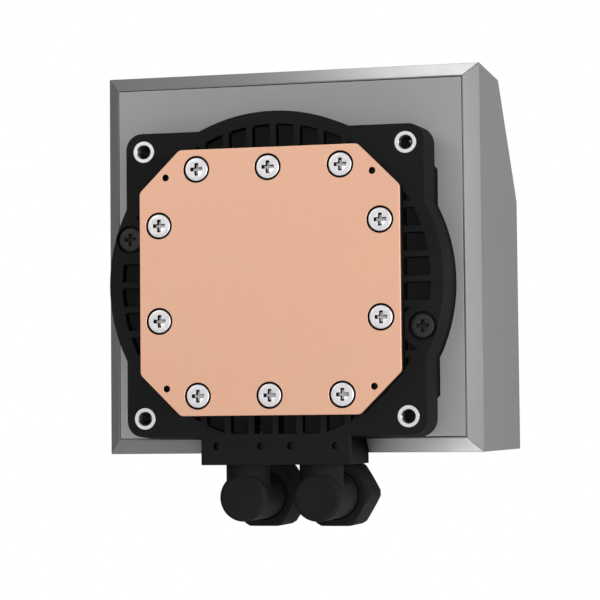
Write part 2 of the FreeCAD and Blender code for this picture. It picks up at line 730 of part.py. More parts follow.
def make_can():
    """Motor can: flange on the pump body and a thin cup round the rotor."""
    can = Piece("motor_can")
    cup = "(can_bore + can_wall)"
    can.turn(Polygon(
        ("can_bore", BODY_BACK), ("can_flange_radius", BODY_BACK),
        ("can_flange_radius", f"{BODY_BACK} + can_flange_thickness"),
        (cup, f"{BODY_BACK} + can_flange_thickness"), (cup, CAN_REAR), ("0", CAN_REAR),
        ("0", f"{CAN_REAR} - can_wall / 2"), ("shaft_radius + fit_gap", f"{CAN_REAR} - can_wall / 2"),
        ("shaft_radius + fit_gap", CAN_INSIDE_END), ("can_bore", CAN_INSIDE_END),
    ), "XY_Plane")
    can.pocket(circles(CAN_SCREWS, SHANK_HOLE), BODY_BACK, "can_flange_thickness")
    return can.body


def make_shaft():
    shaft = Piece("pump_shaft")
    start = f"{PUMP_FLOOR} - shaft_seat + fit_gap"
    shaft.pad([Circle("0", "0", "shaft_radius")], start, f"{CAN_REAR} - can_wall / 2 - fit_gap - ({start})")
    return shaft.body


def make_ring(label, start, length, outer, inner):
    """A plain ring on the Y axis."""
    ring = Piece(label)
    ring.pad([Circle("0", "0", outer), Circle("0", "0", inner)], start, length)
    return ring.body


def make_impeller():
    """Shroud, hub and backward curved blades that face the pump floor."""
    impeller = Piece("impeller")
    shroud = f"({ROTOR_FRONT} + blade_height)"
    impeller.pad([Circle("0", "0", "impeller_radius"), Circle("0", "0", "bush_radius + fit_gap / 5")],
                 shroud, "shroud_thickness")
    impeller.pad([Circle("0", "0", "hub_radius"), Circle("0", "0", "bush_radius + fit_gap / 5")],
                 ROTOR_FRONT, f"{ROTOR_REAR} - {ROTOR_FRONT}")
    waist, tip = "((impeller_eye + blade_reach) / 2)", "blade_reach"
    half = "blade_thickness / 2"
    blade = impeller.pad([Polygon(
        ("impeller_eye", f"-{half}"), (waist, f"blade_sweep / 4 - {half}"), (tip, f"blade_sweep - {half}"),
        (tip, f"blade_sweep + {half}"), (waist, f"blade_sweep / 4 + {half}"), ("impeller_eye", half),
    )], ROTOR_FRONT, "blade_height")
    impeller.ring(blade, "blade_count")
    return impeller.body


def make_core():
    """Laminated stator: a yoke ring with teeth that point at the can."""
    core = Piece("stator_core")
    yoke = "(core_radius - core_yoke)"
    tip = "(can_bore + can_wall + seat_gap)"
    core.pad([Circle("0", "0", "core_radius"), Circle("0", "0", yoke)], CORE_FRONT, "core_length")
    tooth = core.pad([box("-tooth_width / 2", "tooth_width / 2", tip, f"{yoke} + core_yoke / 2")],
                     CORE_FRONT, "core_length")
    core.ring(tooth, "tooth_count")
    return core.body


def make_coils():
    """One copper winding round each tooth."""
    coils = Piece("stator_coils")
    outer = "(tooth_width / 2 + seat_gap + coil_thickness)"
    inner = "(tooth_width / 2 + seat_gap)"
    low = "(can_bore + can_wall + pass_gap + coil_thickness)"
    high = "(core_radius - core_yoke - 2 * coil_thickness)"
    front = f"{CORE_FRONT} - coil_thickness"
    coil = coils.pad([Polygon(
        (f"-{outer}", front), (outer, front),
        (outer, f"{CORE_FRONT} + core_length + coil_thickness"),
        (f"-{outer}", f"{CORE_FRONT} + core_length + coil_thickness"),
    ), Polygon(
        (f"-{inner}", f"{CORE_FRONT} - seat_gap"), (inner, f"{CORE_FRONT} - seat_gap"),
        (inner, f"{CORE_FRONT} + core_length + seat_gap"),
        (f"-{inner}", f"{CORE_FRONT} + core_length + seat_gap"),
    )], low, f"{high} - {low}", plane="XY_Plane")
    coils.ring(coil, "tooth_count")
    return coils.body


def make_board():
    board = Piece("circuit_board")
    board.pad([rounded_square("board_half", "board_corner", "housing_rise")], BOARD_FRONT,
              "board_thickness")
    board.pocket(circles(POSTS, SHANK_HOLE), BOARD_FRONT, "board_thickness")
    return board.body


def make_post():
    """Hollow post between the back plate and the circuit board."""
    post = Piece("board_post")
    post.pad([Circle("0", "0", "post_radius")], BACK_PLATE_REAR, "post_length")
    post.pocket([Circle("0", "0", SHANK_HOLE)], f"{BOARD_FRONT} - post_thread_depth", "post_thread_depth")
    return post


def is_blind_rim(edge):
    """True for the rim of an elbow's blind end."""
    front = abs(edge.BoundBox.YMax - size("port_depth") + size("blind_reach")) < 1e-3
    return front and edge.Length > 6 * size("elbow_radius")


def make_elbow(side):
    """Swivel elbow: neck with grooves, blind barrel end, barbed hose tail and a bore."""
    elbow = Piece(f"{side}_elbow")
    port = PORTS[side]
    top = "(-socket_top - pass_gap)"
    neck = "neck_radius"
    pin_floor = "(neck_radius - pin_groove_depth)"
    ring_floor = "(neck_radius - 2 * ring_cord)"
    pin_top, pin_low = "-pin_drop + pin_radius + fit_gap * 2", "-pin_drop - pin_radius - fit_gap * 2"
    ring_top, ring_low = "-ring_drop + ring_cord + fit_gap", "-ring_drop - ring_cord - fit_gap"
    blind = "-blind_reach"
    tail_end = "(elbow_reach + tail_length)"
    corners = [("0", blind), ("elbow_radius", blind), ("elbow_radius", "elbow_reach")]
    for number in range(int(size("barb_count"))):
        barb = f"(elbow_reach + tail_length - (barb_count - {number}) * barb_length)"
        corners.append(("tail_radius", f"{barb}"))
        corners.append(("tail_radius + barb_rise", barb))
    corners += [("tail_radius", tail_end), ("0", tail_end)]
    elbow.turn(Polygon(*corners), "XY_Plane", start="-elbow_drop", across=port, up="port_depth")
    elbow.dress("Fillet", "blind_round", is_blind_rim)
    elbow.turn(Polygon(
        ("0", top), (f"{neck} - neck_edge", top), (neck, f"{top} - neck_edge"),
        (neck, ring_top), (ring_floor, ring_top), (ring_floor, ring_low), (neck, ring_low),
        (neck, pin_top), (pin_floor, pin_top), (pin_floor, pin_low), (neck, pin_low),
        (neck, "-elbow_drop"), ("0", "-elbow_drop"),
    ), "XZ_Plane", start="port_depth", across=port)
    elbow.pocket([Circle(port, "port_depth", "neck_bore")], "-elbow_drop", f"{top} + elbow_drop",
                 plane="XY_Plane")
    elbow.pocket([Circle(port, "-elbow_drop", "elbow_bore")], "port_depth - elbow_bore",
                 f"{tail_end} + elbow_bore")
    return elbow.body


def make_seal_ring(label, major, cord, axis, across, depth, up):
    """An O-ring as a torus whose axis is Y, or Z where it sits on a neck."""
    ring = document.addObject("Part::Torus", label)
    tie(ring, "Radius1", major)
    tie(ring, "Radius2", cord)
    if axis == "Y":
        ring.Placement.Rotation = FreeCAD.Rotation(FreeCAD.Vector(1, 0, 0), 90)
    tie(ring, "Placement.Base.x", across)
    tie(ring, "Placement.Base.y", depth)
    tie(ring, "Placement.Base.z", up)
    return ring


def make_hose_nut(side):
    """Hexagonal nut with turned corners, bored to pass the barrel and to clasp a hose."""
    nut = Piece(f"{side}_hose_nut")
    port = PORTS[side]
    corners = []
    for number in range(6):
        turn = f"{60 * number}deg"
        corners.append((f"{port} + nut_half_flats * 2 / sqrt(3) * cos({turn})",
                        f"-elbow_drop + nut_half_flats * 2 / sqrt(3) * sin({turn})"))
    nut.pad([Polygon(*corners)], NUT_FRONT, "nut_length")
    far = "nut_half_flats * 1.5"
    rear = "(nut_start + nut_length)"
    nut.turn(Polygon(
        ("nut_face_radius", "nut_start"), (far, "nut_start"), (far, rear), ("nut_face_radius", rear),
        ("nut_corner_radius", f"{rear} - nut_face_chamfer"),
        ("nut_corner_radius", "nut_start + nut_face_chamfer"),
    ), "XY_Plane", start="-elbow_drop", across=port, up="port_depth", cuts=True)
    nut.pocket([Circle(port, "-elbow_drop", "nut_front_bore")], NUT_FRONT, "nut_front_depth")
    nut.pocket([Circle(port, "-elbow_drop", "elbow_radius + fit_gap")], NUT_FRONT,
               f"{TAIL_START} - {NUT_FRONT}")
    nut.pocket([Circle(port, "-elbow_drop", "hose_radius")], TAIL_START,
               f"{NUT_FRONT} + nut_length - {TAIL_START}")
    return nut.body


def make_pin():
    pin = Piece("port_pin")
    pin.pad([Circle("0", "0", "pin_radius")], f"{BASE_FRONT} + pin_sink", "pin_length")
    return pin


pieces = [
    make_cold_plate(),
    copies("cold_plate_screws", machine_screw("cold_plate_screw", "screw_sink", "plate_screw_grip"),
           PLATE_SCREWS),
    make_gasket(),
    make_pump_base(),
    copies("threaded_inserts", make_insert(), EARS),
    copies("base_screws", machine_screw(
        "base_screw", f"{BASE_FRONT} + screw_sink", f"({BACK_PLATE_REAR} - {BASE_FRONT} - {HEAD_SEAT})",
    ), BASE_SCREWS),
    make_spacer(),
    make_flow_plate(),
    make_back_plate(),
    make_housing(),
    make_can(),
    make_seal_ring("motor_can_seal", "seal_radius", "seal_cord", "Y", "0", f"{BODY_BACK} - seal_cord", "0"),
    copies("motor_can_screws", machine_screw(
        "motor_can_screw", "0", "can_flange_thickness + can_screw_grip",
    ), CAN_SCREWS, f"{BODY_BACK} + can_flange_thickness + screw_head_height"),
    make_shaft(),
    make_ring("front_thrust_washer", PUMP_FLOOR, "washer_thickness",
              "washer_radius", "shaft_radius + fit_gap"),
    make_ring("rear_thrust_washer", f"{CAN_INSIDE_END} - washer_thickness", "washer_thickness",
              "washer_radius", "shaft_radius + fit_gap"),
    make_impeller(),
    make_ring("impeller_bush", ROTOR_FRONT, f"{ROTOR_REAR} - {ROTOR_FRONT}", "bush_radius",
              "shaft_radius + fit_gap"),
    make_ring("rotor_magnet", f"{ROTOR_REAR} - magnet_length", "magnet_length", "magnet_radius",
              "hub_radius + fit_gap / 5"),
    make_core(),
    make_coils(),
    make_board(),
    copies("board_posts", make_post(), POSTS),
    copies("board_screws", machine_screw("board_screw", "0", "board_screw_grip"), POSTS,
           f"{BOARD_FRONT} + board_thickness + screw_head_height"),
    copies("port_pins", make_pin(), PINS),
]
for side in PORTS:
    pieces.append(make_elbow(side))
    pieces.append(make_hose_nut(side))
    pieces.append(make_seal_ring(f"{side}_port_seal", "neck_radius - ring_cord", "ring_cord", "Z",
                                 PORTS[side], "port_depth", "-ring_drop"))
document.recompute()

for item in document.Objects:
    if "Invalid" in item.State or "Error" in item.State:
        raise RuntimeError(f"{item.Label} failed to build: {item.State}")
os.makedirs("parts", exist_ok=True)
for piece in pieces:
    shape = piece.Shape
    if shape.isNull() or not shape.isValid() or not shape.Solids:
        raise RuntimeError(f"{piece.Label} has no valid solid")
    shape.exportStep(f"parts/{piece.Label}.step")
    print(piece.Label, len(shape.Solids), "solids,", round(shape.Volume, 1), "cubic millimetres")
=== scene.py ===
"""Looks of a liquid cooler's pump head: finishes, fasteners, threads, light and camera.

Every length is written in millimetres and turned to metres by MM.
"""

import json
import logging
import math
from collections.abc import Callable
from dataclasses import dataclass
from enum import Enum

import bpy
from bpy.types import Light, Material, MeshPolygon, Node, NodeTree, Object
from mathutils import Matrix, Vector


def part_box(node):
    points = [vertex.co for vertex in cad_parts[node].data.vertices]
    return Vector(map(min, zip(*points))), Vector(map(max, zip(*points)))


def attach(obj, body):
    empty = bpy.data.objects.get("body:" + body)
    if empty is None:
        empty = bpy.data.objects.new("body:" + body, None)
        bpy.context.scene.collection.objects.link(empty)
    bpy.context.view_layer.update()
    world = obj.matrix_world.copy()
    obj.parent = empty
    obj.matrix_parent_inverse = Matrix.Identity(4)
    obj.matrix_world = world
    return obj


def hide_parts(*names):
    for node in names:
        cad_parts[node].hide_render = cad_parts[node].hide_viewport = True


MM = 0.001
WELD_GAP = 0.0005 * MM
FLAT_TURN = math.radians(0.4)
POCKET_REACH = 6.0 * MM
STEEP_SHARE = 0.75
SHADE_SAMPLES = 8
END_FACE = 0.9
WHITE = (1.0, 1.0, 1.0, 1.0)
# Painted shade: the colour that recesses and corners darken towards.
PAINTED_SHADE = (0.004, 0.004, 0.004, 1.0)
# Painted shade: the colour that the upright walls of pockets and recesses darken towards.
PAINTED_WALL_SHADE = (0.001, 0.001, 0.001, 1.0)
LOG = logging.getLogger("pump_head")

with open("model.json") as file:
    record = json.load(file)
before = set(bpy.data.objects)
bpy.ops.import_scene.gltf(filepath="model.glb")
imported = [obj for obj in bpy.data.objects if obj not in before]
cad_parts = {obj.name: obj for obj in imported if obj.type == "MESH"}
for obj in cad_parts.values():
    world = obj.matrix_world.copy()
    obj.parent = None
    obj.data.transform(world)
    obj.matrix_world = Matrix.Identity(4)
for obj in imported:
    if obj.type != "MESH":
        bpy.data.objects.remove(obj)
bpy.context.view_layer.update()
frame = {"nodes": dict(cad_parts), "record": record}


class Side(Enum):
    """The two hose ports, seen from the copper face."""

    LEFT = "left"
    RIGHT = "right"


class Grain(Enum):
    """How a surface was finished, which sets the stretch of its fine grain."""

    MOULDED = (1.0, 1.0, 1.0)
    BLASTED = (0.9, 1.0, 1.1)
    BRUSHED_ACROSS = (0.03, 1.0, 1.0)
    BRUSHED_UP = (1.0, 1.0, 0.03)
    TURNED = (1.0, 0.12, 1.0)


# Node groups shared by the finishes


def new_group(
    name: str, inputs: dict[str, tuple[str, object]], outputs: dict[str, str]
) -> NodeTree:
    """Start a shader node group with named sockets.

    Args:
        name: The group's name.
        inputs: Each input's name, with its socket type and its default.
        outputs: Each output's name, with its socket type.

    Returns:
        The group's tree, holding only its input and output nodes.
    """
    group = bpy.data.node_groups.new(name, "ShaderNodeTree")
    for label, (kind, default) in inputs.items():
        socket = group.interface.new_socket(name=label, in_out="INPUT", socket_type=kind)
        socket.default_value = default
    for label, kind in outputs.items():
        group.interface.new_socket(name=label, in_out="OUTPUT", socket_type=kind)
    group.nodes.new("NodeGroupInput")
    group.nodes.new("NodeGroupOutput")
    return group


def add_node(
    tree: NodeTree, kind: str, inputs: dict[str | int, object] | None = None, **settings: object
) -> Node:
    """Add a node, set its options, and set or link its inputs.

    Args:
        tree: The tree that gets the node.
        kind: The node's type name.
        inputs: Values, or the sockets to link, by input name or number.
        settings: Options of the node itself.

    Returns:
        The new node.
    """
    node = tree.nodes.new(kind)
    for option, value in settings.items():
        setattr(node, option, value)
    for key, value in (inputs or {}).items():
        if isinstance(value, bpy.types.NodeSocket):
            tree.links.new(value, node.inputs[key])
        else:
            node.inputs[key].default_value = value
    return node


def scaled_position(tree: NodeTree, stretch: object, scale: object) -> bpy.types.NodeSocket:
    """Give the object coordinates times a stretch and a scale.

    Args:
        tree: The tree that gets the nodes.
        stretch: A vector socket or value that stretches the pattern.
        scale: A float socket or value, in features per metre.

    Returns:
        The scaled vector's socket.
    """
    place = add_node(tree, "ShaderNodeTexCoord")
    stretched = add_node(tree, "ShaderNodeVectorMath", {
        0: place.outputs["Object"], 1: stretch,
    }, operation="MULTIPLY")
    scaled = add_node(tree, "ShaderNodeVectorMath", {
        0: stretched.outputs["Vector"], "Scale": scale,
    }, operation="SCALE")
    return scaled.outputs["Vector"]


def build_grain_group() -> NodeTree:
    """Build the group that gives a surface its fine grain and the soft clouds in its tone.

    Returns:
        The group, which puts out a colour, a roughness and the grain's height.
    """
    group = new_group(
        "surface_grain",
        {
            "Colour": ("NodeSocketColor", (0.5, 0.5, 0.5, 1.0)),
            "Second Colour": ("NodeSocketColor", (0.4, 0.4, 0.4, 1.0)),
            "Stretch": ("NodeSocketVector", (1.0, 1.0, 1.0)),
            "Grain Scale": ("NodeSocketFloat", 4000.0),
            "Cloud Scale": ("NodeSocketFloat", 60.0),
            "Roughness Low": ("NodeSocketFloat", 0.4),
            "Roughness High": ("NodeSocketFloat", 0.5),
        },
        {
            "Colour": "NodeSocketColor",
            "Roughness": "NodeSocketFloat",
            "Height": "NodeSocketFloat",
        },
    )
    sockets = group.nodes["Group Input"].outputs
    grain = add_node(group, "ShaderNodeTexNoise", {
        "Vector": scaled_position(group, sockets["Stretch"], sockets["Grain Scale"]),
        "Scale": 1.0, "Detail": 3.0, "Roughness": 0.6,
    })
    cloud = add_node(group, "ShaderNodeTexNoise", {
        "Vector": scaled_position(group, (1.0, 1.0, 1.0), sockets["Cloud Scale"]),
        "Scale": 1.0, "Detail": 4.0, "Roughness": 0.55,
    })
    tone = add_node(group, "ShaderNodeMath", {0: grain.outputs["Fac"], 1: cloud.outputs["Fac"]},
                    operation="MULTIPLY", use_clamp=True)
    spread = add_node(group, "ShaderNodeMapRange", {
        "Value": tone.outputs["Value"], "From Min": 0.12, "From Max": 0.4,
        "To Min": 0.0, "To Max": 1.0,
    })
    colour = add_node(group, "ShaderNodeMix", {
        "Factor": spread.outputs["Result"], 6: sockets["Colour"], 7: sockets["Second Colour"],
    }, data_type="RGBA")
    rough = add_node(group, "ShaderNodeMapRange", {
        "Value": cloud.outputs["Fac"], "From Min": 0.3, "From Max": 0.7,
        "To Min": sockets["Roughness Low"], "To Max": sockets["Roughness High"],
    })
    end = group.nodes["Group Output"].inputs
    group.links.new(colour.outputs[2], end["Colour"])
    group.links.new(rough.outputs["Result"], end["Roughness"])
    group.links.new(grain.outputs["Fac"], end["Height"])
    return group


def build_crevice_group() -> NodeTree:
    """Build the group that paints shade into corners and recesses, by how near their neighbours
    stand.

    Returns:
        The group, which puts out the darkened colour.
    """
    group = new_group(
        "crevice_shade",
        {
            "Colour": ("NodeSocketColor", (0.5, 0.5, 0.5, 1.0)),
            "Depth": ("NodeSocketFloat", 0.3),
            "Reach": ("NodeSocketFloat", 0.001),
        },
        {"Colour": "NodeSocketColor"},
    )
    sockets = group.nodes["Group Input"].outputs
    shade = add_node(group, "ShaderNodeAmbientOcclusion", {
        "Distance": sockets["Reach"],
    }, samples=SHADE_SAMPLES)
    closed = add_node(group, "ShaderNodeMapRange", {
        "Value": shade.outputs["AO"], "From Min": 0.4, "From Max": 0.95,
        "To Min": 1.0, "To Max": 0.0,
    })
    amount = add_node(group, "ShaderNodeMath", {0: closed.outputs["Result"], 1: sockets["Depth"]},
                      operation="MULTIPLY", use_clamp=True)
    colour = add_node(group, "ShaderNodeMix", {
        "Factor": amount.outputs["Value"], 6: sockets["Colour"], 7: PAINTED_SHADE,
    }, data_type="RGBA")
    group.links.new(colour.outputs[2], group.nodes["Group Output"].inputs["Colour"])
    return group


def build_wall_group() -> NodeTree:
    """Build the group that paints shade onto the upright walls of pockets and recesses, more than
    onto outer walls.

    Returns:
        The group, which puts out the darkened colour.
    """
    group = new_group(
        "wall_shade",
        {
            "Colour": ("NodeSocketColor", (0.5, 0.5, 0.5, 1.0)),
            "Depth": ("NodeSocketFloat", 0.5),
            "Lean": ("NodeSocketFloat", 0.035),
        },
        {"Colour": "NodeSocketColor"},
    )
    sockets = group.nodes["Group Input"].outputs
    place = add_node(group, "ShaderNodeTexCoord")
    parts = add_node(group, "ShaderNodeSeparateXYZ", {"Vector": place.outputs["Normal"]})
    facing = add_node(group, "ShaderNodeMath", {0: parts.outputs["Y"]}, operation="ABSOLUTE")
    steep = add_node(group, "ShaderNodeMath", {
        0: sockets["Lean"], 1: STEEP_SHARE,
    }, operation="MULTIPLY")
    wall = add_node(group, "ShaderNodeMapRange", {
        "Value": facing.outputs["Value"],
        "From Min": steep.outputs["Value"], "From Max": sockets["Lean"],
        "To Min": 1.0, "To Max": 0.0,
    })
    shade = add_node(group, "ShaderNodeAmbientOcclusion", {
        "Distance": POCKET_REACH,
    }, samples=SHADE_SAMPLES)
    inner = add_node(group, "ShaderNodeMapRange", {
        "Value": shade.outputs["AO"], "From Min": 0.7, "From Max": 1.0,
        "To Min": 1.0, "To Max": 0.0,
    })
    within = add_node(group, "ShaderNodeMath", {
        0: wall.outputs["Result"], 1: inner.outputs["Result"],
    }, operation="MULTIPLY")
    amount = add_node(group, "ShaderNodeMath", {
        0: within.outputs["Value"], 1: sockets["Depth"],
    }, operation="MULTIPLY", use_clamp=True)
    colour = add_node(group, "ShaderNodeMix", {
        "Factor": amount.outputs["Value"], 6: sockets["Colour"], 7: PAINTED_WALL_SHADE,
    }, data_type="RGBA")
    group.links.new(colour.outputs[2], group.nodes["Group Output"].inputs["Colour"])
    return group


@dataclass(frozen=True)
class SharedGroups:
    """The node groups that every finish shares."""

    grain: NodeTree
    crevice: NodeTree
    wall: NodeTree

    @classmethod
    def build(cls) -> "SharedGroups":
        """Build each group once."""
        return cls(build_grain_group(), build_crevice_group(), build_wall_group())


@dataclass(frozen=True)
class Finish:
    """One finish of the product: its colours, gloss and grain, and the shade painted into its
    recesses and pocket walls.

    Args:
        name: The material's name.
        colour: The main colour, linear.
        second: The colour of the darker clouds.
        metallic: 1 for bare metal, less under a coating.
        roughness: The roughness between clouds, low and high.
        grain: How the surface was finished.
        grain_size: The grain's width in millimetres.
        grain_height: The grain's height in millimetres.
        cloud_size: The clouds' width in millimetres.
        crevice: How far painted shade darkens recesses, from 0 to 1.
        reach: How far away a neighbour still shades a recess, in millimetres.
        wall: How far painted shade darkens the upright walls of pockets, from 0 to 1.
        lean: The sine of the lean from upright at which a wall stops getting painted shade.
        coat: Weight of a clear coat.
        specular: Specular level; 0.5 is common plastic.
    """

    name: str
    colour: tuple[float, float, float]
    second: tuple[float, float, float]
    metallic: float = 0.0
    roughness: tuple[float, float] = (0.4, 0.5)
    grain: Grain = Grain.MOULDED
    grain_size: float = 0.2
    grain_height: float = 0.004
    cloud_size: float = 12.0
    crevice: float = 0.2
    reach: float = 1.0
    wall: float = 0.0
    lean: float = 0.035
    coat: float = 0.0
    specular: float = 0.5

    def make(self, groups: SharedGroups) -> Material:
        """Build the material.

        Args:
            groups: The node groups that every finish shares.

        Returns:
            The finished material.
        """
        material = bpy.data.materials.new(self.name)
        material.use_nodes = True
        tree = material.node_tree
        shader = tree.nodes["Principled BSDF"]
        shader.inputs["Metallic"].default_value = self.metallic
        shader.inputs["Coat Weight"].default_value = self.coat
        shader.inputs["Specular IOR Level"].default_value = self.specular
        surface = add_node(tree, "ShaderNodeGroup", node_tree=groups.grain)
        surface.inputs["Colour"].default_value = (*self.colour, 1.0)
        surface.inputs["Second Colour"].default_value = (*self.second, 1.0)
        surface.inputs["Stretch"].default_value = self.grain.value
        surface.inputs["Grain Scale"].default_value = 1.0 / (self.grain_size * MM)
        surface.inputs["Cloud Scale"].default_value = 1.0 / (self.cloud_size * MM)
        surface.inputs["Roughness Low"].default_value = self.roughness[0]
        surface.inputs["Roughness High"].default_value = self.roughness[1]
        # Painted shade: the wall and crevice groups darken the base colour in pocket walls and
        # recesses.
        walls = add_node(tree, "ShaderNodeGroup", node_tree=groups.wall)
        walls.inputs["Depth"].default_value = self.wall
        walls.inputs["Lean"].default_value = self.lean
        tree.links.new(surface.outputs["Colour"], walls.inputs["Colour"])
        shaded = add_node(tree, "ShaderNodeGroup", node_tree=groups.crevice)
        shaded.inputs["Depth"].default_value = self.crevice
        shaded.inputs["Reach"].default_value = self.reach * MM
        tree.links.new(walls.outputs["Colour"], shaded.inputs["Colour"])
        bump = add_node(tree, "ShaderNodeBump", {
            "Strength": 1.0, "Distance": self.grain_height * MM,
            "Height": surface.outputs["Height"],
        })
        tree.links.new(shaded.outputs["Colour"], shader.inputs["Base Color"])
        tree.links.new(surface.outputs["Roughness"], shader.inputs["Roughness"])
        tree.links.new(bump.outputs["Normal"], shader.inputs["Normal"])
        return material


def grey(level: float) -> tuple[float, float, float]:
    """Give a neutral colour.

    Args:
        level: Its brightness, linear.

    Returns:
        The colour.
    """
    return (level, level, level)


# Where crevice and wall are set, a finish paints shade into recesses and onto pocket walls.
FINISHES = {
    "copper": Finish(
        "machined_copper", (0.607, 0.356, 0.247), (0.577, 0.332, 0.227), 0.85, (0.42, 0.5),
        Grain.BRUSHED_ACROSS, 0.12, 0.0012, 14.0, 1.0, reach=2.0,
    ),
    "winding_copper": Finish(
        "enamelled_winding", (0.5, 0.2, 0.09), (0.36, 0.12, 0.05), 0.8, (0.25, 0.35),
        Grain.TURNED, 0.3, 0.03, 5.0, 0.6, coat=0.5,
    ),
    "bright_steel": Finish(
        "plated_steel", (0.69, 0.675, 0.69), (0.5, 0.485, 0.5), 0.8, (0.3, 0.4),
        Grain.TURNED, 0.2, 0.003, 1.2, 0.4, reach=3.0, wall=1.0, lean=0.97,
    ),
    "black_steel": Finish(
        "black_oxide_steel", (0.028, 0.025, 0.025), (0.022, 0.02, 0.02), 0.4, (0.4, 0.5),
        Grain.BLASTED, 0.15, 0.003, 2.0, 0.5, reach=1.5, wall=0.3, lean=0.93, specular=0.1,
    ),
    "black_plastic": Finish(
        "moulded_black_plastic", grey(0.0144), grey(0.0117), 0.0, (0.7, 0.8),
        Grain.MOULDED, 0.25, 0.006, 18.0, 0.1, wall=0.95, lean=0.06, specular=0.012,
    ),
    "inner_plastic": Finish(
        "moulded_inner_plastic", (0.03, 0.03, 0.034), (0.022, 0.022, 0.026), 0.0, (0.4, 0.5),
        Grain.MOULDED, 0.25, 0.005, 10.0, 0.4,
    ),
    "elbow_plastic": Finish(
        "moulded_elbow_plastic", grey(0.0142), grey(0.0115), 0.0, (0.6, 0.7),
        Grain.MOULDED, 0.22, 0.004, 9.0, 0.3, wall=0.5, specular=0.015,
    ),
    "nut_plastic": Finish(
        "moulded_nut_plastic", grey(0.0104), grey(0.0085), 0.0, (0.6, 0.7),
        Grain.MOULDED, 0.22, 0.004, 9.0, 0.3, wall=0.5, specular=0.012,
    ),
    # The long reach paints shade onto the shell's bevels beside the base and the port block.
    "housing_metal": Finish(
        "satin_housing_metal", grey(0.199), grey(0.188), 0.14, (0.3, 0.35),
        Grain.BLASTED, 0.14, 0.0025, 30.0, 1.0, reach=8.0, specular=0.0,
    ),
    # The long reach paints a soft shade band onto the plate beside the base; the wall setting
    # paints shade onto its hemmed-in side faces.
    "plate_metal": Finish(
        "satin_plate_metal", grey(0.32), grey(0.306), 0.14, (0.3, 0.35),
        Grain.BLASTED, 0.14, 0.0025, 30.0, 0.15, reach=7.0, wall=0.9, lean=0.9, specular=0.0,
    ),
    "seal_rubber": Finish(
        "smooth_seal_rubber", grey(0.012), grey(0.009), 0.0, (0.55, 0.65),
        Grain.MOULDED, 0.2, 0.004, 5.0, 0.3,
    ),
    "shaft_steel": Finish(
        "ground_shaft_steel", (0.55, 0.55, 0.57), (0.47, 0.47, 0.49), 1.0, (0.15, 0.22),
        Grain.TURNED, 0.08, 0.001, 3.0, 0.2,
    ),
    "magnet": Finish(
        "sintered_magnet", (0.05, 0.05, 0.055), (0.035, 0.035, 0.04), 0.6, (0.45, 0.6),
        Grain.BLASTED, 0.3, 0.008, 6.0, 0.3,
    ),
    "bearing_ceramic": Finish(
        "ground_ceramic", (0.74, 0.72, 0.68), (0.68, 0.66, 0.62), 0.0, (0.12, 0.18),
        Grain.TURNED, 0.1, 0.001, 4.0, 0.3, coat=0.3,
    ),
    "core_steel": Finish(
        "stacked_core_steel", (0.16, 0.16, 0.17), (0.1, 0.1, 0.11), 0.85, (0.35, 0.45),
        Grain.TURNED, 0.5, 0.02, 8.0, 0.4,
    ),
    "board": Finish(
        "green_solder_mask", (0.012, 0.09, 0.04), (0.01, 0.075, 0.033), 0.0, (0.25, 0.32),
        Grain.MOULDED, 0.4, 0.003, 9.0, 0.3, coat=0.4,
    ),
}


# Modelling helpers


def choose_only(piece: Object) -> None:
    """Deselect everything, then select one object and make it active.

    Args:
        piece: The object.
    """
    if bpy.context.object and bpy.context.object.mode != "OBJECT":
        bpy.ops.object.mode_set(mode="OBJECT")
    bpy.ops.object.select_all(action="DESELECT")
    piece.select_set(True)
    bpy.context.view_layer.objects.active = piece


def apply_modifier(piece: Object, kind: str, **settings: object) -> None:
    """Add a modifier to a piece, set it up and apply it.

    Args:
        piece: The piece.
        kind: The modifier's type.
        settings: The modifier's options.
    """
    choose_only(piece)
    modifier = piece.modifiers.new(kind.lower(), kind)
    for option, value in settings.items():
        setattr(modifier, option, value)
    bpy.ops.object.modifier_apply(modifier=modifier.name)


def select_faces(piece: Object, wanted: Callable[[MeshPolygon], bool]) -> None:
    """Enter edit mode with only some faces selected.

    Args:
        piece: The piece.
        wanted: Says of each face whether it is selected.
    """
    choose_only(piece)
    bpy.ops.object.mode_set(mode="EDIT")
    bpy.ops.mesh.select_mode(type="FACE")
    bpy.ops.mesh.select_all(action="DESELECT")
    bpy.ops.object.mode_set(mode="OBJECT")
    for face in piece.data.polygons:
        face.select = bool(wanted(face))
    bpy.ops.object.mode_set(mode="EDIT")


def leave_edit() -> None:
    """Go back to object mode."""
    bpy.ops.object.mode_set(mode="OBJECT")


def bake_place(piece: Object) -> None:
    """Move a piece's place and turn into its mesh."""
    choose_only(piece)
    bpy.ops.object.transform_apply(location=True, rotation=True, scale=True)


def cylinder_on_y(name: str, radius: float, front: float, length: float, sides: int = 64) -> Object:
    """Add a cylinder whose axis is Y.

    Args:
        name: The object's name.
        radius: Radius in millimetres.
        front: The front face's place along Y, in millimetres.
        length: Length in millimetres.
        sides: Number of sides.

    Returns:
        The new object, its place in its mesh.
    """
    bpy.ops.mesh.primitive_cylinder_add(
        vertices=sides, radius=radius * MM, depth=length * MM,
        location=(0.0, (front + length / 2) * MM, 0.0), rotation=(math.pi / 2, 0.0, 0.0),
    )
    piece = bpy.context.active_object
    piece.name = name
    bake_place(piece)
    return piece


def smooth(piece: Object, degrees: float = 30.0) -> None:
    """Shade a piece smooth, but keep its sharp edges."""
    choose_only(piece)
    bpy.ops.object.shade_smooth_by_angle(angle=math.radians(degrees))


